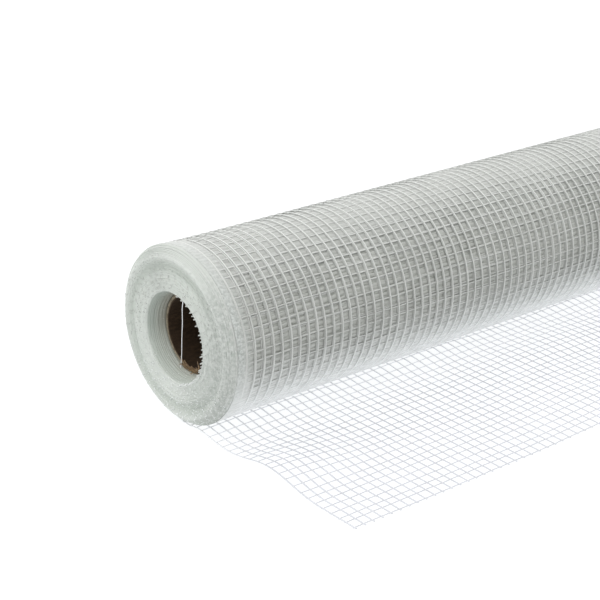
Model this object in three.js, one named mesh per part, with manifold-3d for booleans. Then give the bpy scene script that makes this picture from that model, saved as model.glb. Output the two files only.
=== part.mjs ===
// A roll of open glass-fibre mesh, wound on a cardboard core, with its loose end laid on the floor.
// Millimetres. The roll lies along X, its near end at -X, the loose end runs out towards -Y,
// and the floor is at Z = 0.
import * as THREE from "three";
import { mergeVertices } from "three/addons/utils/BufferGeometryUtils.js";
import Module from "manifold-3d";

// The mesh sheet
const SHEET_WIDTH = 1000; // each turn, the loose end and the core are cut to it
const SHEET_THICKNESS = 0.45;
const LOOSE_LENGTH = 122.7; // from the line under the roll's axis to the cut edge

// The roll
const ROLL_RADIUS = 42.2;
const TURN_PITCH = 0.44; // how far one turn lies outside the one before
const TURNS_PER_RING = 4; // turns that show as one ring on the ends
const RING_GROOVE = 0.5; // how deep the line between two rings is
const ROLL_SIDES = 48;

// The cardboard core
const CORE_OUTER_RADIUS = 19;
const CORE_WALL = 2;
const CORE_CLEARANCE = 0.3; // between the core and the first turn
const CORE_SET_BACK = 7.3; // how far the core's near end lies behind the loose sheet's near edge

// The near end: how far the edges of the turns lie behind the loose sheet's near edge.
// The first turns are wound askew, so they make a funnel from the core out to its mouth.
const MOUTH_RADIUS = 21.7;
const MOUTH_SET_BACK = -2.4;
const BAND_RADIUS = 30.2;
const BAND_SET_BACK = -2;
const DISH_RADIUS = 33.5;
const DISH_SET_BACK = -0.8;
const CREST_RADIUS = 37.8;
const CREST_SET_BACK = -2.8;
const SHOULDER_RADIUS = 41.3;
const SHOULDER_SET_BACK = 0.3;
const RIM_SET_BACK = 2.5;

// The loose end: it follows the roll's underside up to a low ridge, then lies in gentle waves.
const RIDGE_HEIGHT = 2.1;
const RIDGE_OUT = 15;
const RIDGE_SPAN = 13;
const RIDGE_RIPPLE = 0.3; // share of its height
const RIPPLE_LENGTH = 115;
const FLAT_BELOW = 0.25; // waves lower than this lie flat
const WAVES = [
  { along: 0, out: 67, height: 4.9, spanAlong: 40, spanOut: 19 },
  { along: 170, out: 105, height: 2.1, spanAlong: 48, spanOut: 70 },
  { along: 205, out: 45, height: 1.6, spanAlong: 45, spanOut: 20 },
  { along: 330, out: 95, height: 2.4, spanAlong: 45, spanOut: 40 },
  { along: 450, out: 50, height: 1.8, spanAlong: 50, spanOut: 25 },
  { along: 600, out: 100, height: 2.6, spanAlong: 50, spanOut: 45 },
  { along: 720, out: 60, height: 1.6, spanAlong: 45, spanOut: 25 },
  { along: 860, out: 100, height: 2.2, spanAlong: 50, spanOut: 45 },
  { along: 1000, out: 70, height: 4, spanAlong: 40, spanOut: 20 },
];
const SHEET_COLUMNS = 32;
const SHEET_ROWS = 14;
const ROW_CROWDING = 1.5; // rows lie closer together beside the roll
const LAP = 3; // how far the loose end's flat part reaches under the roll, past its axis
const JOIN_DEPTH = 0.15; // how far it runs into the turn that it continues

const boreRadius = CORE_OUTER_RADIUS + CORE_CLEARANCE;

const wasm = await Module();
wasm.setup();

function toSolid(geometry) {
  const merged = geometry.clone();
  merged.deleteAttribute("normal");
  merged.deleteAttribute("uv");
  const closed = mergeVertices(merged);
  return new wasm.Manifold(new wasm.Mesh({
    numProp: 3,
    vertProperties: new Float32Array(closed.attributes.position.array),
    triVerts: new Uint32Array(closed.index.array),
  }));
}

function toGeometry(solid) {
  const { vertProperties, triVerts } = solid.getMesh();
  const geometry = new THREE.BufferGeometry();
  geometry.setAttribute("position", new THREE.BufferAttribute(vertProperties, 3));
  geometry.setIndex(new THREE.BufferAttribute(triVerts, 1));
  geometry.computeVertexNormals();
  return geometry;
}

// A body turned about the roll's axis. Each point of its outline is [place along the roll, radius].
function turned(outline) {
  const closed = [...outline, outline[0]].map(([along, radius]) => new THREE.Vector2(radius, along));
  const geometry = new THREE.LatheGeometry(closed, ROLL_SIDES);
  geometry.rotateY(Math.PI / ROLL_SIDES);
  geometry.rotateZ(-Math.PI / 2);
  geometry.translate(0, 0, ROLL_RADIUS);
  return geometry;
}

// How far the edge of the turn at a radius lies behind the loose sheet's near edge
function setBack(radius) {
  const shape = [
    [boreRadius, CORE_SET_BACK],
    [MOUTH_RADIUS, MOUTH_SET_BACK],
    [BAND_RADIUS, BAND_SET_BACK],
    [DISH_RADIUS, DISH_SET_BACK],
    [CREST_RADIUS, CREST_SET_BACK],
    [SHOULDER_RADIUS, SHOULDER_SET_BACK],
    [ROLL_RADIUS, RIM_SET_BACK],
  ];
  const next = Math.max(1, shape.findIndex(([outer]) => outer >= radius));
  const [innerRadius, innerBack] = shape[next - 1];
  const [outerRadius, outerBack] = shape[next];
  return THREE.MathUtils.mapLinear(radius, innerRadius, outerRadius, innerBack, outerBack);
}

// The wound turns: both ends show rings of turns, and every turn is one sheet width long.
function woundTurns() {
  const depth = ROLL_RADIUS - boreRadius;
  const rings = Math.round(depth / (TURN_PITCH * TURNS_PER_RING));
  const nearEnd = [];
  const farEnd = [];
  for (let ring = 0; ring <= rings; ring += 1) {
    const radius = boreRadius + (depth * ring) / rings;
    const isLine = ring > 0 && ring < rings;
    const groove = isLine ? RING_GROOVE : 0;
    nearEnd.push([setBack(radius) + groove, radius]);
    farEnd.push([setBack(radius) + SHEET_WIDTH - groove, radius]);
    if (ring < rings) {
      const crest = radius + depth / rings / 2;
      nearEnd.push([setBack(crest), crest]);
      farEnd.push([setBack(crest) + SHEET_WIDTH, crest]);
    }
  }
  return turned([...nearEnd, ...farEnd.reverse()]);
}

// Height of the loose end's underside, at a place along the roll and a distance out from its axis
function lift(along, out) {
  const ripple = 1 + RIDGE_RIPPLE * Math.sin((2 * Math.PI * along) / RIPPLE_LENGTH);
  const ridge = RIDGE_HEIGHT * ripple * Math.exp(-(((out - RIDGE_OUT) / RIDGE_SPAN) ** 2));
  const waves = WAVES.reduce((sum, wave) => {
    const a = (along - wave.along) / wave.spanAlong;
    const b = (out - wave.out) / wave.spanOut;
    return sum + wave.height * Math.exp(-a * a - b * b);
  }, 0);
  const reach = Math.min(Math.abs(out), ROLL_RADIUS);
  const underRoll = ROLL_RADIUS - Math.sqrt(ROLL_RADIUS ** 2 - reach ** 2);
  const againstRoll = underRoll - SHEET_THICKNESS + JOIN_DEPTH;
  return Math.max(0, Math.min(ridge + waves - FLAT_BELOW, againstRoll));
}

function looseEnd() {
  const geometry = new THREE.BoxGeometry(SHEET_WIDTH, 1, SHEET_THICKNESS, SHEET_COLUMNS, SHEET_ROWS, 1);
  const points = geometry.attributes.position;
  for (let i = 0; i < points.count; i += 1) {
    const along = points.getX(i) + SHEET_WIDTH / 2;
    const share = 0.5 - points.getY(i);
    const out = share > 0 ? LOOSE_LENGTH * share ** ROW_CROWDING : -LAP;
    const height = points.getZ(i) + SHEET_THICKNESS / 2;
    points.setXYZ(i, along, -out, height + lift(along, out));
  }
  return geometry;
}

const glassMesh = new THREE.MeshStandardMaterial({ color: 0xc8d0ca, roughness: 0.6, metalness: 0 });
const cardboard = new THREE.MeshStandardMaterial({ color: 0x7a5a3c, roughness: 0.9, metalness: 0 });

const meshRoll = new THREE.Mesh(toGeometry(toSolid(woundTurns()).add(toSolid(looseEnd()))), glassMesh);
meshRoll.name = "mesh_roll";

const coreTube = new THREE.Mesh(
  turned([
    [CORE_SET_BACK, CORE_OUTER_RADIUS - CORE_WALL],
    [CORE_SET_BACK, CORE_OUTER_RADIUS],
    [CORE_SET_BACK + SHEET_WIDTH, CORE_OUTER_RADIUS],
    [CORE_SET_BACK + SHEET_WIDTH, CORE_OUTER_RADIUS - CORE_WALL],
  ]),
  cardboard,
);
coreTube.name = "core_tube";

// The origin is in the middle of the whole object, on the floor.
const roll = new THREE.Group();
roll.add(meshRoll, coreTube);
const bounds = new THREE.Box3().setFromObject(roll);
const middle = bounds.getCenter(new THREE.Vector3());
roll.position.set(-middle.x, -middle.y, -bounds.min.z);

export default roll;
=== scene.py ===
"""A roll of open glass-fibre mesh on its cardboard core, with its loose end laid out in front.

Metres. The roll lies along X with its near end at -X, the loose end runs out towards -Y,
and the floor is at Z = 0.
"""
import math

import bpy
import numpy as np
from mathutils import Matrix, Vector


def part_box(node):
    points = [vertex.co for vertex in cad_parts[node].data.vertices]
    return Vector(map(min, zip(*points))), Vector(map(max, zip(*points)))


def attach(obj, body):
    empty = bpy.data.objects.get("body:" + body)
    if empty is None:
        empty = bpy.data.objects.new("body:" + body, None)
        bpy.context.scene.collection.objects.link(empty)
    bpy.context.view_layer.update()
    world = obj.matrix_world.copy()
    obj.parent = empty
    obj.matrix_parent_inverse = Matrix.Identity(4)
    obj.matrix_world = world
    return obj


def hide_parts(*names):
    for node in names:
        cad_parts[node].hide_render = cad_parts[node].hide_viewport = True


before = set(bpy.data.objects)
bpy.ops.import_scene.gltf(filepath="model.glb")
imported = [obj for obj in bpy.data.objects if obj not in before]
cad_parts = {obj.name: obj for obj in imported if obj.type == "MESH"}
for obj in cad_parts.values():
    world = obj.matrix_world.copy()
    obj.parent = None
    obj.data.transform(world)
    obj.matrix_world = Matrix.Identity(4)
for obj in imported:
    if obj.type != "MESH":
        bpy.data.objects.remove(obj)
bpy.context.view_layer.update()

# The mesh sheet
SHEET_WIDTH = 1.0
SHEET_THICKNESS = 0.00045
LOOSE_LENGTH = 0.1227
CELL = 0.005
WARP_WIDTH = 0.0009  # warps run along the sheet, so they are rings on the roll
WARP_THICKNESS = 0.0004
WEFT_WIDTH = 0.0007  # wefts run across the sheet, along the roll
WEFT_THICKNESS = 0.00034
TIP_LENGTH = 0.0006  # how far a cut yarn stands out past the last crossing
UNEVENNESS = 0.0002  # how far a yarn is shaken on its way
WARP_PROUD = 0.00014  # on the roll the warps stand this far out
WEFT_SUNK = 0.00027  # and the wefts this far in

# How far a yarn strays from its line: an offset of its own, long waves and short ones.
# WARP_WAVES and WEFT_WAVES are the lengths of those waves.
WARP_STRAY = (0.00010, 0.00020, 0.00007)
WARP_WAVES = (0.07, 0.016)
WEFT_STRAY = (0.00028, 0.00052, 0.00012)
WEFT_WAVES = (0.11, 0.02)

# The roll
ROLL_RADIUS = 0.0422
TURN_PITCH = 0.00044
OPEN_TURNS = 3  # outer turns made yarn by yarn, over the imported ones
CORE_RADIUS = 0.019
CORE_WALL = 0.002
CORE_SET_BACK = 0.0073
CORE_CLEARANCE = 0.0003
BORE_RADIUS = CORE_RADIUS + CORE_CLEARANCE

# The near end: radius, and how far the edge of the turn there lies behind the loose sheet's edge.
# The first turns are wound askew, so they make a funnel from the core out to its mouth.
MOUTH_RADIUS = 0.0217
RIM_SET_BACK = 0.0025
END_SHAPE = (
    (BORE_RADIUS, CORE_SET_BACK),
    (MOUTH_RADIUS, -0.0024),
    (0.0302, -0.0020),
    (0.0335, -0.0008),
    (0.0378, -0.0028),
    (0.0413, 0.0003),
    (ROLL_RADIUS, RIM_SET_BACK),
)
SOFTENED = 0.0004  # how far the corners of that shape are rounded
RIM_BAND = (0.036, 0.041)  # radii between which the dent and the flare grow to their full size
LOW_DENT = 0.0026  # the rim lies further back low on its far side
LOW_DENT_ANGLE = math.radians(42)
LOW_DENT_SPAN = math.radians(46)
DRIFT_START = -0.02  # from under the axis, where the loose end's edge starts to run back to the roll's
DRIFT_END = 0.02
RING_DRIFT = 0.0001  # away from the ends, the rings of a turn lie this much nearer than those over them
ALIGNED_REACH = 0.018  # how far in from the ends the rings follow the shape of the end
FLARE = 0.0009  # the outer turns stand off the roll at its ends, most at the top
FLARE_REACH = 0.014
MILKY_REACH = 0.0062  # how far in from the ends the turns lie close, with no open cells between them
SUNK_AT_ENDS = 0.0003  # how much lower the open turns lie there
PACKED_END_RADIUS = 0.04208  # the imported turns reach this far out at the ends
PACKED_RADIUS = ROLL_RADIUS - OPEN_TURNS * TURN_PITCH - SHEET_THICKNESS / 2

# The loose end: a low ridge beside the roll, then gentle waves (along, out, height, two spans)
RIDGE_HEIGHT = 0.0021
RIDGE_OUT = 0.015
RIDGE_SPAN = 0.013
RIDGE_RIPPLE = 0.3
RIPPLE_LENGTH = 0.115
FLAT_BELOW = 0.00025
JOIN_DEPTH = 0.00015
WAVES = (
    (0.000, 0.067, 0.0049, 0.040, 0.019),
    (0.170, 0.105, 0.0021, 0.048, 0.070),
    (0.205, 0.045, 0.0016, 0.045, 0.020),
    (0.330, 0.095, 0.0024, 0.045, 0.040),
    (0.450, 0.050, 0.0018, 0.050, 0.025),
    (0.600, 0.100, 0.0026, 0.050, 0.045),
    (0.720, 0.060, 0.0016, 0.045, 0.025),
    (0.860, 0.100, 0.0022, 0.050, 0.045),
    (1.000, 0.070, 0.0040, 0.040, 0.020),
)

# One frayed yarn across the bore: behind the near edge, out from the axis, up from the axis
STRAY_YARN = (
    (-0.0020, 0.0070, 0.0203),
    (-0.0014, 0.0056, 0.0160),
    (0.0005, 0.0031, 0.0080),
    (0.0026, -0.0003, -0.0020),
    (0.0048, -0.0035, -0.0110),
    (0.0060, -0.0056, -0.0160),
    (0.0060, -0.0058, -0.0183),
    (0.0055, -0.0053, -0.0189),
)
STRAY_WIDTH = 0.00042

# Cut ends round the mouth and frayed ends over the core's lower lip, at angles from the bottom
MOUTH_TIPS = (math.radians(185), math.radians(350))
MOUTH_TIP_RADII = (MOUTH_RADIUS - 0.0002, MOUTH_RADIUS + 0.0002)
LIP_TIPS = (math.radians(-30), math.radians(18))
LIP_RADII = (0.0173, 0.0178, 0.0183, 0.0188)

core_low, core_high = (Vector(corner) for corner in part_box("core_tube"))
NEAR_EDGE = core_low.x - CORE_SET_BACK
AXIS_Y = (core_low.y + core_high.y) / 2
AXIS_Z = ROLL_RADIUS

# Heights between which painted light makes the roll lighter: low down, for the light from the white floor
# below, and along its top, for the light from overhead
PAINTED_LIGHT_LOW = (0.008, AXIS_Z + 0.004)
PAINTED_LIGHT_TOP = (AXIS_Z + 0.022, AXIS_Z + 0.041)

SKY_DIRECTION = Vector((-0.2, 0.25, 1.0)).normalized()  # where the light is strongest

# The camera, measured from the near end of the line that the roll rests on
CAMERA_PLACE = (-0.41984, -0.57971, 0.36472)
CAMERA_HEADING = math.radians(40.296)  # from +Y towards +X
CAMERA_DOWN = math.radians(23.015)
CAMERA_ROLL = math.radians(1.243)
FOCAL_PIXELS = 1740.5
FRAME_PIXELS = 600
SENSOR_WIDTH = 36.0


def make_camera():
    data = bpy.data.cameras.new("camera")
    data.sensor_width = SENSOR_WIDTH
    data.lens = FOCAL_PIXELS / FRAME_PIXELS * SENSOR_WIDTH
    data.clip_start = 0.01
    data.clip_end = 100
    camera = bpy.data.objects.new("camera", data)
    x, y, z = CAMERA_PLACE
    turn = Matrix.Rotation(-CAMERA_HEADING, 4, "Z") @ Matrix.Rotation(math.pi / 2 - CAMERA_DOWN, 4, "X")
    place = Matrix.Translation((NEAR_EDGE + x, AXIS_Y + y, z))
    camera.matrix_world = place @ turn @ Matrix.Rotation(CAMERA_ROLL, 4, "Z")
    bpy.context.scene.collection.objects.link(camera)
    bpy.context.scene.camera = camera


# Shader helpers


class Shader:
    """A material's node tree, with short ways to add its nodes."""

    def __init__(self, name, **sockets):
        self.material = bpy.data.materials.new(name)
        self.material.use_nodes = True
        self.nodes = self.material.node_tree.nodes
        self.links = self.material.node_tree.links
        self.surface = self.nodes["Principled BSDF"]
        for socket, value in sockets.items():
            self.surface.inputs[socket.replace("_", " ")].default_value = value

    def add(self, kind, inputs=(), **settings):
        node = self.nodes.new(kind)
        for key, value in settings.items():
            setattr(node, key, value)
        for key, value in dict(inputs).items():
            self.put(value, node.inputs[key])
        return node

    def put(self, value, socket):
        if isinstance(value, bpy.types.NodeSocket):
            self.links.new(value, socket)
        else:
            socket.default_value = value

    def maths(self, operation, *values):
        node = self.nodes.new("ShaderNodeMath")
        node.operation = operation
        for value, socket in zip(values, node.inputs):
            self.put(value, socket)
        return node.outputs[0]

    def vector_maths(self, operation, *values):
        node = self.nodes.new("ShaderNodeVectorMath")
        node.operation = operation
        for value, socket in zip(values, node.inputs):
            self.put(value, socket)
        return node.outputs[0]

    def split(self, vector):
        return self.add("ShaderNodeSeparateXYZ", {0: vector}).outputs

    def fade(self, value, low, high, start=0.0, end=1.0):
        """start below low, end above high, and smooth between them."""
        node = self.add(
            "ShaderNodeMapRange",
            {0: value, 1: low, 2: high, 3: start, 4: end},
            interpolation_type="SMOOTHSTEP",
        )
        return node.outputs[0]

    def mix(self, share, first, second):
        node = self.add("ShaderNodeMix", {0: share}, data_type="RGBA")
        self.put(first, node.inputs[6])
        self.put(second, node.inputs[7])
        return node.outputs[2]

    def noise(self, vector, scale, detail=3.0, roughness=0.5):
        node = self.add(
            "ShaderNodeTexNoise",
            {"Vector": vector, "Scale": scale, "Detail": detail, "Roughness": roughness},
        )
        return node.outputs["Fac"]

    def place(self):
        return self.add("ShaderNodeTexCoord").outputs["Object"]

    def bump(self, height, distance, strength=1.0):
        node = self.add("ShaderNodeBump", {"Height": height, "Distance": distance, "Strength": strength})
        self.links.new(node.outputs[0], self.surface.inputs["Normal"])


def colour(red, green, blue):
    """A colour as it shows on a screen, 0 to 255, as the linear one that shaders take."""
    def linear(value):
        value /= 255
        return value / 12.92 if value <= 0.04045 else ((value + 0.055) / 1.055) ** 2.4
    return (linear(red), linear(green), linear(blue), 1.0)


def painted_light_by_height(shader, place, base, lit_low_colour, lit_top_colour):
    """Painted light: the roll is coloured lighter low down, for the light thrown up from the white floor
    and loose end below it, and lighter along its top, for the light from overhead.
    """
    height = shader.split(place)[2]
    # painted light from below: lighter towards the floor
    low = shader.fade(height, *PAINTED_LIGHT_LOW, 1.0, 0.0)
    # painted light along the top: lighter towards the top
    high = shader.fade(height, *PAINTED_LIGHT_TOP, 0.0, 0.55)
    return shader.mix(high, shader.mix(low, base, lit_low_colour), lit_top_colour)


def yarn_material(name, deep, pale, glint, lies=None):
    """Milky glass yarn that varies a little from place to place, with painted light by where it lies:
    lighter low down and along the top on the roll, and lighter beside the roll on the floor.
    """
    sheen = 0.4 if lies else 0.0
    shader = Shader(name, Roughness=0.42, IOR=1.5, Sheen_Weight=sheen, Sheen_Roughness=0.5)
    place = shader.place()
    patches = shader.noise(place, 60.0, 2.0)
    fibres = shader.noise(place, 1800.0, 3.0, 0.6)
    base = shader.mix(shader.fade(patches, 0.3, 0.7), deep, pale)
    streaks = shader.mix(shader.fade(fibres, 0.25, 0.75, 0.0, 0.35), base, glint)
    if lies == "on roll":
        # painted light: lighter low down and along the top of the roll
        streaks = painted_light_by_height(shader, place, streaks, colour(236, 239, 239), colour(206, 208, 205))
    elif lies == "on floor":
        # painted light: laid yarn coloured lighter near the roll, against the shade that the roll casts
        # there
        lit_beside_roll = shader.fade(shader.split(place)[1], AXIS_Y - 0.060, AXIS_Y - 0.010, 0.0, 1.0)
        streaks = shader.mix(lit_beside_roll, streaks, colour(240, 241, 244))
    shader.put(streaks, shader.surface.inputs["Base Color"])
    shader.bump(fibres, 0.00012, 0.6)
    return shader.material


def packed_side_material():
    """The turns under the open ones, seen through their cells: deeper grids, with painted shade that
    darkens the gaps and each deeper grid, and painted light low down and along the top.
    """
    shader = Shader("packed_mesh_side", Roughness=0.6, IOR=1.5, Sheen_Weight=0.4, Sheen_Roughness=0.5)
    uv = shader.add("ShaderNodeUVMap", uv_map="sheet").outputs[0]
    place = shader.place()
    bend = shader.add("ShaderNodeTexNoise", {"Vector": uv, "Scale": 35.0, "Detail": 2.0}).outputs["Color"]
    centred = shader.vector_maths("SUBTRACT", bend, (0.5, 0.5, 0.5))
    bent = shader.vector_maths("MULTIPLY_ADD", centred, (0.0020, 0.007, 0.0), uv)
    along, around, _ = shader.split(bent)
    cover = 0.0
    # painted shade: each deeper grid shows fainter, so more of the darker gap colour comes through
    for deeper, weight in enumerate((1.0, 0.8, 0.6, 0.45)):
        turn = OPEN_TURNS + deeper
        ring_place = RIM_SET_BACK - RING_DRIFT * turn
        bar_place = 2 * math.pi * TURN_PITCH * turn % CELL
        for part, line_place in ((along, ring_place), (around, bar_place)):
            cells = shader.maths("MULTIPLY_ADD", part, 1 / CELL, 0.5 - line_place / CELL)
            off_line = shader.maths("ABSOLUTE", shader.maths("SUBTRACT", shader.maths("FRACT", cells), 0.5))
            line = shader.fade(off_line, 0.05, 0.12, weight, 0.0)
            cover = shader.maths("MAXIMUM", cover, line)
    strands = shader.noise(shader.vector_maths("MULTIPLY", bent, (0.16, 1.0, 0.0)), 1000.0, 3.0, 0.65)
    # painted shade: the gaps between the grids are coloured darker, for the shade deep in the roll
    gap_shade = shader.mix(shader.fade(strands, 0.36, 0.64), colour(126, 129, 122), colour(169, 171, 165))
    net = shader.mix(cover, gap_shade, colour(175, 177, 172))
    # painted light: lighter strands for low down on the roll
    strands_lit_low = shader.mix(shader.fade(strands, 0.36, 0.64), colour(202, 205, 204), colour(246, 248, 248))
    net = painted_light_by_height(shader, place, net, strands_lit_low, colour(172, 174, 171))
    flat_along = shader.split(uv)[0]
    to_end = shader.maths("MINIMUM", flat_along, shader.maths("SUBTRACT", SHEET_WIDTH, flat_along))
    milky = shader.fade(to_end, 0.001, 0.015, 0.85, 0.0)
    fibres = shader.noise(place, 900.0, 3.0, 0.6)
    haze = shader.mix(shader.fade(fibres, 0.3, 0.7), colour(146, 151, 147), colour(196, 200, 197))
    # painted light low down and along the top on the milky ends too
    haze = painted_light_by_height(shader, place, haze, colour(216, 219, 217), colour(184, 187, 183))
    base = shader.mix(milky, net, haze)
    shader.put(base, shader.surface.inputs["Base Color"])
    shader.bump(shader.maths("ADD", cover, fibres), 0.0003, 0.6)
    return shader.material


def packed_end_material():
    """The edges of the turns, packed into a milky face with fine rings in it, with painted shade in the
    dish, on the side towards the loose end and down the funnel, and painted light on the outer ridge and
    low in the funnel.
    """
    shader = Shader("packed_mesh_end", Roughness=0.5, IOR=1.5)
    uv = shader.add("ShaderNodeUVMap", uv_map="sheet").outputs[0]
    from_mouth = shader.split(uv)[1]
    place = shader.place()
    ring_place = shader.add("ShaderNodeCombineXYZ", {0: from_mouth}).outputs[0]
    rings = shader.noise(ring_place, 1300.0, 4.0, 0.7)
    broad = shader.noise(ring_place, 260.0, 2.0)
    specks = shader.noise(place, 900.0, 3.0, 0.65)
    clouds = shader.noise(place, 70.0, 2.0)
    base = shader.mix(shader.fade(rings, 0.3, 0.7), colour(195, 200, 194), colour(208, 212, 207))
    base = shader.mix(shader.fade(broad, 0.35, 0.65, 0.0, 0.5), base, colour(201, 206, 199))
    base = shader.mix(shader.fade(specks, 0.55, 0.8, 0.0, 0.5), base, colour(219, 222, 218))
    base = shader.mix(shader.fade(clouds, 0.35, 0.7, 0.0, 0.25), base, colour(192, 200, 192))
    # painted shade: darker in the dish between the mouth and the outer ridge
    dish_start = shader.fade(from_mouth, 0.0075, 0.0105, 0.0, 0.7)
    dish_end = shader.fade(from_mouth, 0.0130, 0.0155, 1.0, 0.0)
    base = shader.mix(shader.maths("MULTIPLY", dish_start, dish_end), base, colour(184, 191, 183))
    # painted highlight: lighter along the outer ridge of the end
    off_crest = shader.maths("ABSOLUTE", shader.maths("SUBTRACT", from_mouth, 0.0167))
    crest = shader.fade(off_crest, 0.0003, 0.0014, 0.5, 0.0)
    base = shader.mix(crest, base, colour(216, 220, 215))
    # painted shade: darker and mottled on the side of the end towards the loose end
    near_side = shader.fade(shader.split(place)[1], AXIS_Y - 0.036, AXIS_Y - 0.012, 0.9, 0.0)
    mottle = shader.noise(place, 620.0, 3.0, 0.65)
    mottled_shade = shader.mix(shader.fade(mottle, 0.36, 0.64), colour(166, 172, 166), colour(200, 203, 199))
    base = shader.mix(near_side, base, mottled_shade)
    # painted shade: the funnel's wall is coloured darker the deeper it goes
    up_funnel = shader.fade(from_mouth, -0.0098, -0.0025)
    funnel_wall_shade = shader.mix(up_funnel, colour(146, 145, 134), colour(172, 180, 172))
    lined = shader.mix(shader.fade(rings, 0.35, 0.65, 0.35, 0.0), funnel_wall_shade, colour(108, 112, 104))
    # painted light: lighter on the funnel's lower wall, for the light falling into it from above
    low = shader.fade(shader.split(place)[2], AXIS_Z - 0.013, AXIS_Z + 0.001, 0.5, 0.0)
    lined = shader.mix(low, lined, colour(188, 194, 186))
    base = shader.mix(shader.fade(from_mouth, -0.0012, 0.0003), lined, base)
    shader.put(base, shader.surface.inputs["Base Color"])
    shader.bump(shader.maths("ADD", rings, specks), 0.0002, 0.35)
    return shader.material


def core_material():
    """Spiral-wound brown board: a pale face on its ends, in the board's own colour, and painted shade that
    makes it dark down the bore.
    """
    shader = Shader("core_board", Roughness=0.9, IOR=1.4)
    place = shader.place()
    from_axis = shader.vector_maths("SUBTRACT", place, (0.0, AXIS_Y, AXIS_Z))
    along, across, up = shader.split(from_axis)
    turns = shader.maths("DIVIDE", shader.maths("ARCTAN2", up, across), 2 * math.pi)
    strip = shader.maths("FRACT", shader.maths("MULTIPLY_ADD", along, 1 / 0.085, turns))
    seam = shader.fade(shader.maths("ABSOLUTE", shader.maths("SUBTRACT", strip, 0.5)), 0.0, 0.012, 1.0, 0.0)
    stretched = shader.vector_maths("MULTIPLY", place, (0.35, 1.0, 1.0))
    pulp = shader.noise(stretched, 700.0, 4.0, 0.7)
    blotches = shader.noise(place, 90.0, 2.0)
    # painted shade: the bore's inner wall is coloured far darker than the board, for the shade down the
    # bore; the dark seams in it are the board's joints
    inside = shader.mix(shader.fade(pulp, 0.3, 0.75), colour(44, 31, 18), colour(74, 56, 38))
    inside = shader.mix(shader.fade(blotches, 0.35, 0.7, 0.0, 0.5), inside, colour(58, 44, 31))
    inside = shader.mix(seam, inside, colour(34, 24, 16))
    face = shader.mix(shader.fade(pulp, 0.35, 0.65), colour(108, 98, 82), colour(150, 140, 122))
    squares = [shader.maths("MULTIPLY", side, side) for side in (across, up)]
    radius = shader.maths("SQRT", shader.maths("ADD", *squares))
    bore = CORE_RADIUS - CORE_WALL
    base = shader.mix(shader.fade(radius, bore + 0.0003, bore + 0.0012), inside, face)
    shader.put(base, shader.surface.inputs["Base Color"])
    shader.bump(pulp, 0.0003, 0.7)
    return shader.material


# The shape of the sheet


def smooth_step(share):
    """A share held between 0 and 1, with a smooth start and end."""
    share = np.clip(share, 0, 1)
    return share * share * (3 - 2 * share)


def set_back(radius):
    """How far the edge of the turn at a radius lies behind the loose sheet's near edge."""
    radii, backs = zip(*END_SHAPE)
    return sum(np.interp(radius + step, radii, backs) for step in (-SOFTENED, 0, SOFTENED)) / 3


def out_of_mouth(radius):
    """Length along the end's outline, from the mouth of the funnel out to a radius."""
    radii, backs = (np.array(column) for column in zip(*END_SHAPE))
    lengths = np.concatenate([[0], np.cumsum(np.hypot(np.diff(radii), np.diff(backs)))])
    return np.interp(radius, radii, lengths - np.interp(MOUTH_RADIUS, radii, lengths))


def towards_rim(radius):
    """0 inside the rim's band, 1 outside it."""
    inner, outer = RIM_BAND
    return np.clip((radius - inner) / (outer - inner), 0, 1)


def low_dent(radius, angle):
    """How much further back the rim lies at an angle round the roll, from the bottom, back and up."""
    off = (angle - LOW_DENT_ANGLE + math.pi) % (2 * math.pi) - math.pi
    return LOW_DENT * towards_rim(radius) * np.exp(-((off / LOW_DENT_SPAN) ** 2))


def flare(radius, angle, to_end):
    """How far the turns near an end stand off the roll, most at the top."""
    over = 0.5 - 0.5 * np.cos(angle)
    return FLARE * over * towards_rim(radius) * np.exp(-to_end / FLARE_REACH)


def closeness(angle):
    """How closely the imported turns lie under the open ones, low down and along the top."""
    up = -np.cos(angle)
    return 0.8 * smooth_step((-0.15 - up) / 0.6) + 0.5 * smooth_step((up - 0.75) / 0.25)


def wander(seed, first, second, reach):
    """A smooth random field over two lengths, mostly between -1 and 1."""
    draw = np.random.default_rng(seed)
    total = 0.0
    waves = 7
    for _ in range(waves):
        angle, phase = draw.uniform(0, 2 * math.pi, 2)
        length = reach * draw.uniform(0.6, 1.8)
        total = total + np.sin(
            2 * math.pi * (first * math.cos(angle) + second * math.sin(angle)) / length + phase
        )
    return total / math.sqrt(waves)


def lift(along, out):
    """Height of the loose end's underside, along the roll and out from its axis."""
    ripple = 1 + RIDGE_RIPPLE * np.sin(2 * math.pi * along / RIPPLE_LENGTH)
    height = RIDGE_HEIGHT * ripple * np.exp(-(((out - RIDGE_OUT) / RIDGE_SPAN) ** 2))
    for wave_along, wave_out, wave_height, span_along, span_out in WAVES:
        a = (along - wave_along) / span_along
        b = (out - wave_out) / span_out
        height = height + wave_height * np.exp(-a * a - b * b)
    reach = np.minimum(np.abs(out), ROLL_RADIUS)
    under_roll = ROLL_RADIUS - np.sqrt(ROLL_RADIUS**2 - reach**2)
    against_roll = under_roll - SHEET_THICKNESS + JOIN_DEPTH
    return np.maximum(0, np.minimum(height - FLAT_BELOW, against_roll))


def wound_length(angle):
    """Length of sheet from the line under the axis to an angle round the roll, back and up first."""
    return (ROLL_RADIUS - SHEET_THICKNESS / 2) * angle - TURN_PITCH * angle**2 / (4 * math.pi)


def wound_angle(length):
    outer = ROLL_RADIUS - SHEET_THICKNESS / 2
    tighten = TURN_PITCH / (4 * math.pi)
    return (outer - np.sqrt(outer**2 - 4 * tighten * length)) / (2 * tighten)


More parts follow.
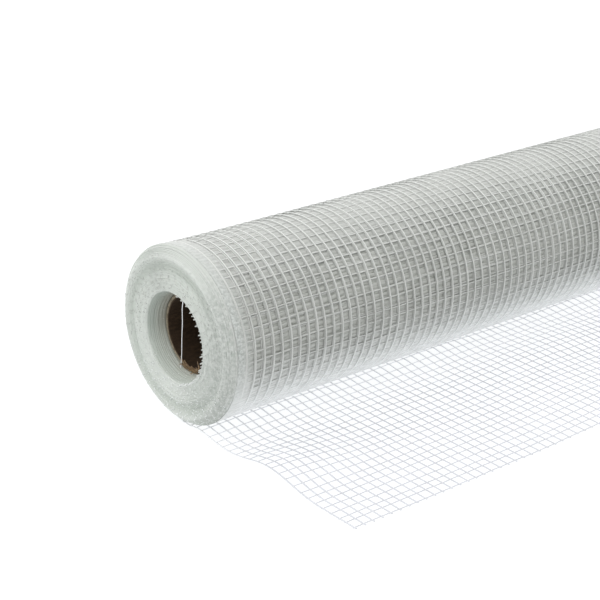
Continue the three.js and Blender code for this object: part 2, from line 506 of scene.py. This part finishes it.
def on_sheet(length, along, proud=0.0):
    """Points and outward normals of the sheet, at lengths from the cut edge and places along it."""
    length, along = np.broadcast_arrays(np.asarray(length, float), np.asarray(along, float))
    wound = np.maximum(0, length - LOOSE_LENGTH)
    out = np.maximum(0, LOOSE_LENGTH - length)
    angle = wound_angle(wound)
    radius = ROLL_RADIUS - TURN_PITCH * angle / (2 * math.pi)
    drift = smooth_step((length - LOOSE_LENGTH - DRIFT_START) / (DRIFT_END - DRIFT_START))
    to_end = np.maximum(0, np.minimum(along, SHEET_WIDTH - along))
    at_edge = set_back(radius) + low_dent(radius, angle)
    inside = RIM_SET_BACK - RING_DRIFT * angle / (2 * math.pi)
    shift = drift * (inside + (at_edge - inside) * np.exp(-((to_end / ALIGNED_REACH) ** 2)))
    sunk = SUNK_AT_ENDS * np.exp(-((to_end / MILKY_REACH) ** 2))
    reach = radius - SHEET_THICKNESS / 2 + flare(radius, angle, to_end) + (proud - sunk) * drift
    floor_height = lift(along, out) + SHEET_THICKNESS / 2
    laid = length < LOOSE_LENGTH
    points = np.stack(
        [
            NEAR_EDGE + along + shift,
            AXIS_Y + np.where(laid, -out, reach * np.sin(angle)),
            np.where(laid, floor_height, AXIS_Z - reach * np.cos(angle)),
        ],
        axis=-1,
    )
    normals = np.stack(
        [np.zeros_like(angle), np.where(laid, 0, np.sin(angle)), np.where(laid, -1, -np.cos(angle))],
        axis=-1,
    )
    return points, normals


def stray(seed, yarn_seed, first, second, amounts, waves):
    """How far a yarn strays from its line at each place."""
    own, in_long, in_short = amounts
    off = np.random.default_rng(yarn_seed).normal(0, own)
    off = off + in_long * wander(seed, first, second, waves[0])
    return off + in_short * wander(seed + 1, first, second, waves[1])


def warp_path(number, lengths):
    """One warp, straying a little from its line."""
    along = number * CELL
    off = stray(11, 1000 + number, lengths, along, WARP_STRAY, WARP_WAVES)
    return on_sheet(lengths, along + off, WARP_PROUD)


def weft_path(number, alongs):
    """One weft, straying a little from its line."""
    length = number * CELL
    off = stray(21, 5000 + number, length, alongs, WEFT_STRAY, WEFT_WAVES)
    return on_sheet(np.maximum(-TIP_LENGTH, length + off), alongs, -WEFT_SUNK)


# Geometry Nodes


def new_tree(name, sockets):
    """An empty node tree with a geometry in and out, and named inputs: (name, socket type)."""
    tree = bpy.data.node_groups.new(name, "GeometryNodeTree")
    tree.interface.new_socket("Geometry", in_out="INPUT", socket_type="NodeSocketGeometry")
    for socket, kind in sockets:
        tree.interface.new_socket(socket, in_out="INPUT", socket_type=kind)
    tree.interface.new_socket("Geometry", in_out="OUTPUT", socket_type="NodeSocketGeometry")
    return tree


def tree_node(tree, kind, inputs=(), **settings):
    node = tree.nodes.new(kind)
    for key, value in settings.items():
        setattr(node, key, value)
    for key, value in dict(inputs).items():
        if isinstance(value, bpy.types.NodeSocket):
            tree.links.new(value, node.inputs[key])
        else:
            node.inputs[key].default_value = value
    return node


def swept_yarn_tree():
    """Sweeps a flat yarn along every line of a guide, its flat side facing the guide's normal."""
    tree = new_tree(
        "swept_yarn",
        (
            ("Yarn Width", "NodeSocketFloat"),
            ("Yarn Thickness", "NodeSocketFloat"),
            ("Sides", "NodeSocketInt"),
            ("Unevenness", "NodeSocketFloat"),
            ("Seed", "NodeSocketInt"),
            ("Material", "NodeSocketMaterial"),
        ),
    )
    given = tree_node(tree, "NodeGroupInput").outputs
    curves = tree_node(tree, "GeometryNodeMeshToCurve", {"Mesh": given["Geometry"]})
    facing = tree_node(
        tree, "GeometryNodeInputNamedAttribute", {"Name": "facing"}, data_type="FLOAT_VECTOR"
    )
    aimed = tree_node(
        tree, "GeometryNodeSetCurveNormal",
        {"Curve": curves.outputs[0], "Normal": facing.outputs[0]}, mode="FREE",
    )
    noise = tree_node(
        tree, "ShaderNodeTexNoise", {"W": given["Seed"], "Scale": 240.0, "Detail": 1.0},
        noise_dimensions="4D",
    )
    centred = tree_node(
        tree, "ShaderNodeVectorMath", {0: noise.outputs["Color"], 1: (0.5, 0.5, 0.5)}, operation="SUBTRACT"
    )
    shaken = tree_node(
        tree, "ShaderNodeVectorMath",
        {0: centred.outputs[0], "Scale": given["Unevenness"]}, operation="SCALE",
    )
    moved = tree_node(
        tree, "GeometryNodeSetPosition", {"Geometry": aimed.outputs[0], "Offset": shaken.outputs[0]}
    )
    ring = tree_node(
        tree, "GeometryNodeCurvePrimitiveCircle",
        {"Resolution": given["Sides"], "Radius": 0.5}, mode="RADIUS",
    )
    flat = tree_node(
        tree, "ShaderNodeCombineXYZ", {0: given["Yarn Thickness"], 1: given["Yarn Width"], 2: 1.0}
    )
    profile = tree_node(
        tree, "GeometryNodeTransform", {"Geometry": ring.outputs[0], "Scale": flat.outputs[0]}
    )
    swept = tree_node(
        tree, "GeometryNodeCurveToMesh",
        {"Curve": moved.outputs[0], "Profile Curve": profile.outputs[0], "Fill Caps": True},
    )
    smooth = tree_node(tree, "GeometryNodeSetShadeSmooth", {"Geometry": swept.outputs[0]})
    real = tree_node(tree, "GeometryNodeRealizeInstances", {"Geometry": smooth.outputs[0]})
    finish = tree_node(
        tree, "GeometryNodeSetMaterial", {"Geometry": real.outputs[0], "Material": given["Material"]}
    )
    tree_node(tree, "NodeGroupOutput", {0: finish.outputs[0]})
    return tree


def cut_tip_tree():
    """Stands a short cut yarn on every point of a guide, along the guide's direction."""
    tree = new_tree(
        "cut_tips",
        (
            ("Yarn Width", "NodeSocketFloat"),
            ("Shortest", "NodeSocketFloat"),
            ("Longest", "NodeSocketFloat"),
            ("Lean", "NodeSocketFloat"),
            ("Seed", "NodeSocketInt"),
            ("Material", "NodeSocketMaterial"),
        ),
    )
    given = tree_node(tree, "NodeGroupInput").outputs
    direction = tree_node(
        tree, "GeometryNodeInputNamedAttribute", {"Name": "facing"}, data_type="FLOAT_VECTOR"
    )
    most = tree_node(tree, "ShaderNodeCombineXYZ", {0: given["Lean"], 1: given["Lean"], 2: given["Lean"]})
    least = tree_node(tree, "ShaderNodeVectorMath", {0: most.outputs[0], "Scale": -1.0}, operation="SCALE")
    leaning = tree_node(
        tree, "FunctionNodeRandomValue",
        {0: least.outputs[0], 1: most.outputs[0], "Seed": given["Seed"]}, data_type="FLOAT_VECTOR",
    )
    aim = tree_node(
        tree, "ShaderNodeVectorMath", {0: direction.outputs[0], 1: leaning.outputs[0]}, operation="ADD"
    )
    turned = tree_node(
        tree, "FunctionNodeAlignRotationToVector", {"Vector": aim.outputs[0]}, axis="Z"
    )
    length = tree_node(
        tree, "FunctionNodeRandomValue",
        {2: given["Shortest"], 3: given["Longest"], "Seed": given["Seed"]}, data_type="FLOAT",
    )
    size = tree_node(
        tree, "ShaderNodeCombineXYZ", {0: given["Yarn Width"], 1: given["Yarn Width"], 2: length.outputs[1]}
    )
    tip = tree_node(
        tree, "GeometryNodeMeshCone",
        {"Vertices": 4, "Radius Top": 0.25, "Radius Bottom": 0.5, "Depth": 1.0}, fill_type="NGON",
    )
    stood = tree_node(
        tree, "GeometryNodeInstanceOnPoints",
        {
            "Points": given["Geometry"],
            "Instance": tip.outputs[0],
            "Rotation": turned.outputs[0],
            "Scale": size.outputs[0],
        },
    )
    real = tree_node(tree, "GeometryNodeRealizeInstances", {"Geometry": stood.outputs[0]})
    finish = tree_node(
        tree, "GeometryNodeSetMaterial", {"Geometry": real.outputs[0], "Material": given["Material"]}
    )
    tree_node(tree, "NodeGroupOutput", {0: finish.outputs[0]})
    return tree


def link_mesh(name, points, edges=(), faces=()):
    mesh = bpy.data.meshes.new(name)
    mesh.from_pydata([tuple(point) for point in points], edges, faces)
    piece = bpy.data.objects.new(name, mesh)
    bpy.context.scene.collection.objects.link(piece)
    return piece


def guide(name, paths):
    """Lines for a tree to follow: each path is (points, normals)."""
    points = np.concatenate([path[0] for path in paths])
    normals = np.concatenate([path[1] for path in paths])
    edges = []
    start = 0
    for path in paths:
        count = len(path[0])
        edges += [(start + i, start + i + 1) for i in range(count - 1)]
        start += count
    piece = link_mesh(name, points, edges)
    facing = piece.data.attributes.new("facing", "FLOAT_VECTOR", "POINT")
    facing.data.foreach_set("vector", normals.astype(np.float32).ravel())
    return piece


def grow(piece, tree, **values):
    """Runs a tree on a guide and leaves its result as the piece's plain mesh."""
    modifier = piece.modifiers.new(tree.name, "NODES")
    modifier.node_group = tree
    for item in tree.interface.items_tree:
        key = item.name.replace(" ", "_").lower()
        if item.in_out == "INPUT" and key in values:
            modifier[item.identifier] = values[key]
    made = bpy.data.meshes.new_from_object(piece.evaluated_get(bpy.context.evaluated_depsgraph_get()))
    piece.modifiers.clear()
    piece.data = made
    made.name = piece.name
    return piece


def joined(name, parts):
    """Several pieces as one, under a new name."""
    with bpy.context.temp_override(
        active_object=parts[0], selected_editable_objects=parts, object=parts[0]
    ):
        bpy.ops.object.join()
    parts[0].name = name
    parts[0].data.name = name
    return parts[0]


# The pieces


def net(name, warps, wefts, tree, material, sides, seed):
    """Warps and wefts as one piece of mesh."""
    down = grow(
        guide(f"{name}_warps", warps), tree, yarn_width=WARP_WIDTH, yarn_thickness=WARP_THICKNESS,
        sides=sides, unevenness=UNEVENNESS, seed=seed, material=material,
    )
    across = grow(
        guide(f"{name}_wefts", wefts), tree, yarn_width=WEFT_WIDTH, yarn_thickness=WEFT_THICKNESS,
        sides=4, unevenness=UNEVENNESS, seed=seed + 10, material=material,
    )
    return joined(name, [down, across])


def open_turn(number, tree, material):
    """One of the outer turns: its rings, and the wefts between them."""
    start, end = (2 * math.pi * (number - 1), 2 * math.pi * number)
    first, last = (LOOSE_LENGTH + wound_length(angle) for angle in (start, end))
    lengths = LOOSE_LENGTH + wound_length(np.linspace(start, end, 57))
    warps = [warp_path(j, lengths) for j in range(round(SHEET_WIDTH / CELL) + 1)]
    alongs = np.linspace(-TIP_LENGTH, SHEET_WIDTH + TIP_LENGTH, 105)
    wefts = [weft_path(k, alongs) for k in range(math.ceil(first / CELL), math.ceil(last / CELL))]
    sides = 6 if number == 1 else 4
    return net(f"open_turn_{number}", warps, wefts, tree, material, sides, number)


def loose_end(tree, material):
    """The loose end of the sheet, laid on the floor."""
    lengths = np.linspace(-TIP_LENGTH, LOOSE_LENGTH + 0.002, 32)
    warps = [warp_path(j, lengths) for j in range(round(SHEET_WIDTH / CELL) + 1)]
    alongs = np.linspace(-TIP_LENGTH, SHEET_WIDTH + TIP_LENGTH, 126)
    wefts = [weft_path(k, alongs) for k in range(math.ceil(LOOSE_LENGTH / CELL))]
    covered = len(warps) * (LOOSE_LENGTH + TIP_LENGTH) * WARP_WIDTH
    covered += len(wefts) * (SHEET_WIDTH + 2 * TIP_LENGTH) * WEFT_WIDTH
    return net("loose_end", warps, wefts, tree, material, 6, 31), covered


def packed_outline():
    """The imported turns' outline: places behind the near edge, radii, and which turn each is on."""
    draw = np.random.default_rng(41)
    groove = 0.0005
    funnel = np.linspace(BORE_RADIUS, MOUTH_RADIUS, 13)
    face_turns = round((PACKED_END_RADIUS - MOUTH_RADIUS) / TURN_PITCH)
    face = np.linspace(MOUTH_RADIUS, PACKED_END_RADIUS, face_turns + 1)
    edges = np.concatenate([funnel, face[1:]])
    near, far = [], []
    for turn, (inner, outer) in enumerate(zip(edges, edges[1:])):
        back = float(set_back((inner + outer) / 2)) + draw.normal(0, 0.00008)
        for share, depth in ((0.0, groove), (0.25, 0.0), (0.75, 0.0)):
            radius = inner + (outer - inner) * share
            near.append((back + depth, radius, turn))
            far.append((SHEET_WIDTH + back - depth, radius, turn))
    turns = len(edges) - 1
    ends = []
    for inward in (0.0005, 0.003, 0.006, 0.010, 0.014, 0.019, 0.025, 0.032, 0.040):
        closed = math.exp(-((inward / MILKY_REACH) ** 2))
        ends.append((inward, PACKED_RADIUS + (PACKED_END_RADIUS - PACKED_RADIUS) * closed))
    side = [(RIM_SET_BACK + inward, radius, turns) for inward, radius in ends]
    side += [(0.05 + 0.9 * i / 18, PACKED_RADIUS, turns) for i in range(19)]
    side += [(SHEET_WIDTH + RIM_SET_BACK - inward, radius, turns) for inward, radius in reversed(ends)]
    return near, side, far[::-1]


def packed_turns(side_material, end_material):
    """The turns under the open ones, with the edge of every turn standing on both ends."""
    near, side, far = packed_outline()
    outline = near + side + far
    side_turn = side[0][2]
    steps = 144
    angles = np.arange(steps) * 2 * math.pi / steps
    phases = np.random.default_rng(42).uniform(0, 2 * math.pi, (side_turn + 1, 2))
    points = []
    for place, radius, turn in outline:
        to_end = max(0, min(place, SHEET_WIDTH - place))
        at_end = math.exp(-((to_end / ALIGNED_REACH) ** 2))
        wobble = 0.00012 * (np.sin(2 * angles + phases[turn, 0]) + np.sin(5 * angles + phases[turn, 1]))
        x = NEAR_EDGE + place + at_end * (wobble + low_dent(radius, angles))
        reach = radius + flare(radius, angles, to_end)
        if turn == side_turn:
            reach = reach + (PACKED_END_RADIUS - radius) * closeness(angles)
        across, up = reach * np.sin(angles), -reach * np.cos(angles)
        points.append(np.stack([x, AXIS_Y + across, AXIS_Z + up], axis=-1))
    faces, uvs, which = [], [], []
    for i in range(len(outline)):
        following = (i + 1) % len(outline)
        on_side = len(near) <= i + 1 and i < len(near) + len(side)
        which += [0 if on_side else 1] * steps
        for k in range(steps):
            turned = (k + 1) % steps
            corners = ((i, k), (i, turned), (following, turned), (following, k))
            faces.append(tuple(index * steps + step for index, step in corners))
            for index, step in ((i, k), (i, k + 1), (following, k + 1), (following, k)):
                place, radius, _ = outline[index]
                around = ROLL_RADIUS * 2 * math.pi * step / steps
                uvs.append((place, around) if on_side else (around, float(out_of_mouth(radius))))
    piece = link_mesh("packed_turns", np.concatenate(points), (), faces)
    layer = piece.data.uv_layers.new(name="sheet")
    layer.data.foreach_set("uv", np.array(uvs, np.float32).ravel())
    piece.data.materials.append(side_material)
    piece.data.materials.append(end_material)
    piece.data.polygons.foreach_set("material_index", which)
    piece.data.polygons.foreach_set("use_smooth", [True] * len(which))
    return piece


def tip_ring(draw, radius, spacing, near, first=0.0, last=2 * math.pi):
    """Places round an end, from one angle to another, where cut yarns stand out of a turn's edge."""
    count = round((last - first) * radius / spacing)
    angles = first + (np.arange(count) + draw.uniform()) * (last - first) / count
    angles = angles + draw.normal(0, 0.012, count)
    place = set_back(radius) + low_dent(radius, angles) + (0 if near else SHEET_WIDTH)
    place = place + draw.normal(0, 0.0001, count)
    return np.stack(
        [NEAR_EDGE + place, AXIS_Y + radius * np.sin(angles), AXIS_Z - radius * np.cos(angles)], axis=-1
    )


def tips(name, rings, tree, near, up=0.0, **sizes):
    """Cut yarns that stand out of an end, or lean up as well."""
    piece = link_mesh(name, np.concatenate(rings))
    facing = np.tile((-1.0 if near else 1.0, 0.0, up), (sum(len(ring) for ring in rings), 1))
    attribute = piece.data.attributes.new("facing", "FLOAT_VECTOR", "POINT")
    attribute.data.foreach_set("vector", facing.astype(np.float32).ravel())
    return grow(piece, tree, seed=7 if near else 8, **sizes)


def edge_tips(name, trees, material, lip_material, near):
    """The wefts' cut ends on an end: fine all over, coarse round the mouth, frayed on the near lip."""
    draw = np.random.default_rng(61 if near else 62)
    radii = np.arange(BORE_RADIUS + TURN_PITCH / 2, ROLL_RADIUS - TURN_PITCH, TURN_PITCH)
    fine = tips(
        f"{name}_fine", [tip_ring(draw, radius, CELL, near) for radius in radii], trees["tip"], near,
        yarn_width=0.0004, shortest=0.0001, longest=0.0007, lean=0.35, material=material,
    )
    mouth = [tip_ring(draw, radius, 0.0035, near, *MOUTH_TIPS) for radius in MOUTH_TIP_RADII]
    coarse = tips(
        f"{name}_coarse", mouth, trees["tip"], near,
        yarn_width=0.0011, shortest=0.0007, longest=0.0015, lean=0.12, material=material,
    )
    if not near:
        return [fine, coarse]
    lip = [tip_ring(draw, radius, 0.0007, near, *LIP_TIPS) for radius in LIP_RADII]
    for ring in lip:
        ring[:, 0] = NEAR_EDGE + CORE_SET_BACK
    frayed = tips(
        f"{name}_frayed", lip, trees["tip"], near, 0.9,
        yarn_width=0.0005, shortest=0.0008, longest=0.0042, lean=1.0, material=lip_material,
    )
    return [fine, coarse, frayed]


def stray_yarn(tree, material):
    """A frayed yarn that has sprung across the bore, from the mouth's top to the core's lower lip."""
    points = np.array([(NEAR_EDGE + x, AXIS_Y - out, AXIS_Z + up) for x, out, up in STRAY_YARN])
    normals = np.tile((-1.0, 0.0, 0.0), (len(points), 1))
    return grow(
        guide("stray_yarn", [(points, normals)]), tree, yarn_width=STRAY_WIDTH,
        yarn_thickness=STRAY_WIDTH * 0.8, sides=6, unevenness=0.0, seed=3, material=material,
    )


# The studio


def studio_light(world):
    """Soft white light from all round, strongest from overhead."""
    nodes, links = world.node_tree.nodes, world.node_tree.links
    direction = nodes.new("ShaderNodeTexCoord").outputs["Generated"]
    facing = nodes.new("ShaderNodeVectorMath")
    facing.operation = "DOT_PRODUCT"
    links.new(direction, facing.inputs[0])
    facing.inputs[1].default_value = SKY_DIRECTION
    strength = nodes.new("ShaderNodeMapRange")
    links.new(facing.outputs["Value"], strength.inputs["Value"])
    for socket, value in (("From Min", -0.3), ("From Max", 1.0), ("To Min", 0.5), ("To Max", 1.9)):
        strength.inputs[socket].default_value = value
    links.new(strength.outputs[0], nodes["Background"].inputs["Strength"])
    nodes["Background"].inputs["Color"].default_value = (1, 1, 1, 1)


def studio(floor_side=40.0):
    """A plain white floor under soft white light."""
    half = floor_side / 2
    corners = [(-half, -half, 0), (half, -half, 0), (half, half, 0), (-half, half, 0)]
    floor = link_mesh("floor", corners, (), [(0, 1, 2, 3)])
    shader = Shader("white_floor", Roughness=0.9, Base_Color=(0.15, 0.15, 0.15, 1))
    shader.surface.inputs["Emission Color"].default_value = (0.97, 0.985, 1, 1)
    shader.surface.inputs["Emission Strength"].default_value = 0.89
    floor.data.materials.append(shader.material)
    world = bpy.data.worlds.new("studio")
    world.use_nodes = True
    studio_light(world)
    bpy.context.scene.world = world


make_camera()
bpy.context.scene.view_settings.view_transform = "Standard"
trees = {"yarn": swept_yarn_tree(), "tip": cut_tip_tree()}
yarn = yarn_material(
    "glass_yarn", colour(172, 174, 170), colour(184, 186, 182), colour(200, 202, 198), "on roll"
)
dusty_yarn = yarn_material("dusty_yarn", colour(112, 88, 62), colour(164, 136, 104), colour(208, 186, 156))
# the laid copy is the same glass yarn, coloured lighter and bluish as painted light for the light over the
# white floor; the stray yarn uses it too
laid_yarn_lit = yarn_material(
    "glass_yarn_laid", colour(187, 189, 195), colour(195, 197, 203), colour(208, 210, 215), "on floor"
)

packed = packed_turns(packed_side_material(), packed_end_material())
turns = [open_turn(n, trees["yarn"], yarn) for n in range(1, OPEN_TURNS + 1)]
loose, covered_area = loose_end(trees["yarn"], laid_yarn_lit)
near_tips = joined(
    "near_edge_tips",
    [*edge_tips("near_tips", trees, yarn, dusty_yarn, True), stray_yarn(trees["yarn"], laid_yarn_lit)],
)
far_tips = joined("far_edge_tips", edge_tips("far_tips", trees, yarn, dusty_yarn, False))
studio()

for piece in [packed, *turns, loose, near_tips, far_tips]:
    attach(piece, "root")
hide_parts("mesh_roll")

core = bpy.data.objects[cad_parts["core_tube"].name]
core.data.materials.clear()
core.data.materials.append(core_material())
